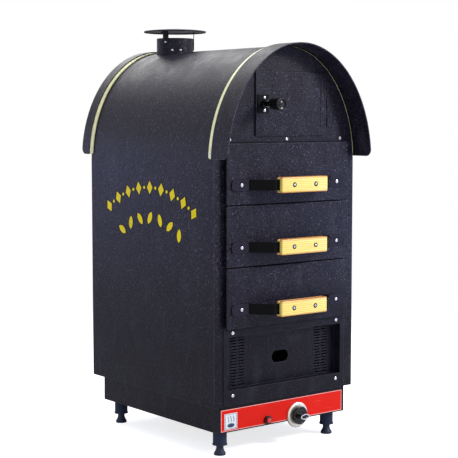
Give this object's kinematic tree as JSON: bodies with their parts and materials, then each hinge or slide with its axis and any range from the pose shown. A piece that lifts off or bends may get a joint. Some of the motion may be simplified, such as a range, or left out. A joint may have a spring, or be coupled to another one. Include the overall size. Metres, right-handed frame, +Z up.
{
  "type": "baked potato oven",
  "caption": "Free-standing gas potato oven with stacked roasting drawers, a barrel roof with end hoods, a warming cabinet door and a capped flue.",
  "frame": {"origin": "centre of the floor plan, on the floor", "axes": "+X to the right as seen from the front, +Y to the back, +Z up"},
  "size_m": [0.513, 0.7136, 1.172],
  "materials": {
    "black_paint": "black hammer-textured enamel, slight violet cast",
    "handle_black": "gloss black enamel",
    "oven_steel": "bare sheet steel",
    "bright_steel": "bright zinc plate",
    "cream_trim": "cream strip",
    "pale_wood": "pale yellow varnished wood",
    "leg_steel": "blue-black paint",
    "foot_black": "black nylon on steel",
    "red_label": "red printed sheet",
    "pale_badge": "pale printed sheet",
    "cream_bezel": "satin dial ring",
    "black_bakelite": "black bakelite",
    "red_button": "red plastic",
    "brass": "machined brass",
    "copper_pipe": "copper tube"
  },
  "bodies": {
    "cabinet": {"casing_wrap": "black_paint", "back_panel": "black_paint", "front_frame": "black_paint", "tympanum_panel": "black_paint", "floor_plate": "oven_steel", "front_hood": "black_paint", "rear_hood": "black_paint", "front_trim": "cream_trim", "rear_trim": "cream_trim", "trim_nails": "bright_steel", "plinth_box": "black_paint", "legs": "leg_steel", "louvre_panel": "black_paint", "casing_screws": "bright_steel", "oven_liner": "oven_steel", "drawer_runners": "oven_steel", "burner_tube": "oven_steel", "warming_cabinet": "oven_steel", "flue_pipe": "black_paint", "flue_cap": "black_paint", "flue_cap_straps": "black_paint", "flue_screws": "bright_steel", "frame_hinge_leaf": "black_paint", "control_label": "red_label", "badge_plate": "pale_badge", "knob_bezel": "cream_bezel", "gas_valve": "brass", "piezo_collar": "black_bakelite", "gas_inlet": "brass", "supply_pipe": "copper_pipe", "burner_feed": "copper_pipe"},
    "lower_drawer": {"lower_drawer_front": "black_paint", "lower_drawer_tray": "oven_steel", "lower_handle_bar": "handle_black", "lower_handle_grip": "pale_wood", "lower_handle_fasteners": "bright_steel"},
    "middle_drawer": {"middle_drawer_front": "black_paint", "middle_drawer_tray": "oven_steel", "middle_handle_bar": "handle_black", "middle_handle_grip": "pale_wood", "middle_handle_fasteners": "bright_steel"},
    "upper_drawer": {"upper_drawer_front": "black_paint", "upper_drawer_tray": "oven_steel", "upper_handle_bar": "handle_black", "upper_handle_grip": "pale_wood", "upper_handle_fasteners": "bright_steel"},
    "door": {"warming_door": "black_paint", "door_hinge_leaf": "black_paint", "knob_plate": "handle_black", "knob_plate_screws": "bright_steel"},
    "door_knob": {"door_knob": "black_bakelite"},
    "valve_stem": {"valve_stem": "bright_steel"},
    "gas_knob": {"gas_knob": "black_bakelite"},
    "piezo_button": {"piezo_button": "red_button"},
    "front_left_foot": {"front_left_foot": "foot_black"},
    "front_right_foot": {"front_right_foot": "foot_black"},
    "rear_left_foot": {"rear_left_foot": "foot_black"},
    "rear_right_foot": {"rear_right_foot": "foot_black"}
  },
  "joints": [
    {"name": "lower_drawer_slide", "type": "slide", "parent": "cabinet", "child": "lower_drawer", "axis": [0, -1, 0], "range_m": [0, 0.38]},
    {"name": "middle_drawer_slide", "type": "slide", "parent": "cabinet", "child": "middle_drawer", "axis": [0, -1, 0], "range_m": [0, 0.38]},
    {"name": "upper_drawer_slide", "type": "slide", "parent": "cabinet", "child": "upper_drawer", "axis": [0, -1, 0], "range_m": [0, 0.38]},
    {"name": "door_hinge", "type": "hinge", "parent": "cabinet", "child": "door", "pos_m": [0.1435, -0.28195, 0.9455], "axis": [0, 0, 1], "range_deg": [0, 100]},
    {"name": "door_knob_turn", "type": "hinge", "parent": "door", "child": "door_knob", "pos_m": [-0.084, -0.29325, 0.9451], "axis": [0, 1, 0], "range_deg": [0, 90]},
    {"name": "gas_push", "type": "slide", "parent": "cabinet", "child": "valve_stem", "axis": [0, 1, 0], "range_m": [0, 0.0035], "stiffness_N_per_m": 900, "springref_m": -0.003},
    {"name": "gas_turn", "type": "hinge", "parent": "valve_stem", "child": "gas_knob", "pos_m": [0.048, -0.27825, 0.082], "axis": [0, -1, 0], "range_deg": [0, 270]},
    {"name": "piezo_push", "type": "slide", "parent": "cabinet", "child": "piezo_button", "axis": [0, 1, 0], "range_m": [0, 0.004], "stiffness_N_per_m": 700, "springref_m": -0.003},
    {"name": "front_left_foot_screw", "type": "slide", "parent": "cabinet", "child": "front_left_foot", "axis": [0, 0, -1], "range_m": [0, 0.015]},
    {"name": "front_right_foot_screw", "type": "slide", "parent": "cabinet", "child": "front_right_foot", "axis": [0, 0, -1], "range_m": [0, 0.015]},
    {"name": "rear_left_foot_screw", "type": "slide", "parent": "cabinet", "child": "rear_left_foot", "axis": [0, 0, -1], "range_m": [0, 0.015]},
    {"name": "rear_right_foot_screw", "type": "slide", "parent": "cabinet", "child": "rear_right_foot", "axis": [0, 0, -1], "range_m": [0, 0.015]}
  ]
}
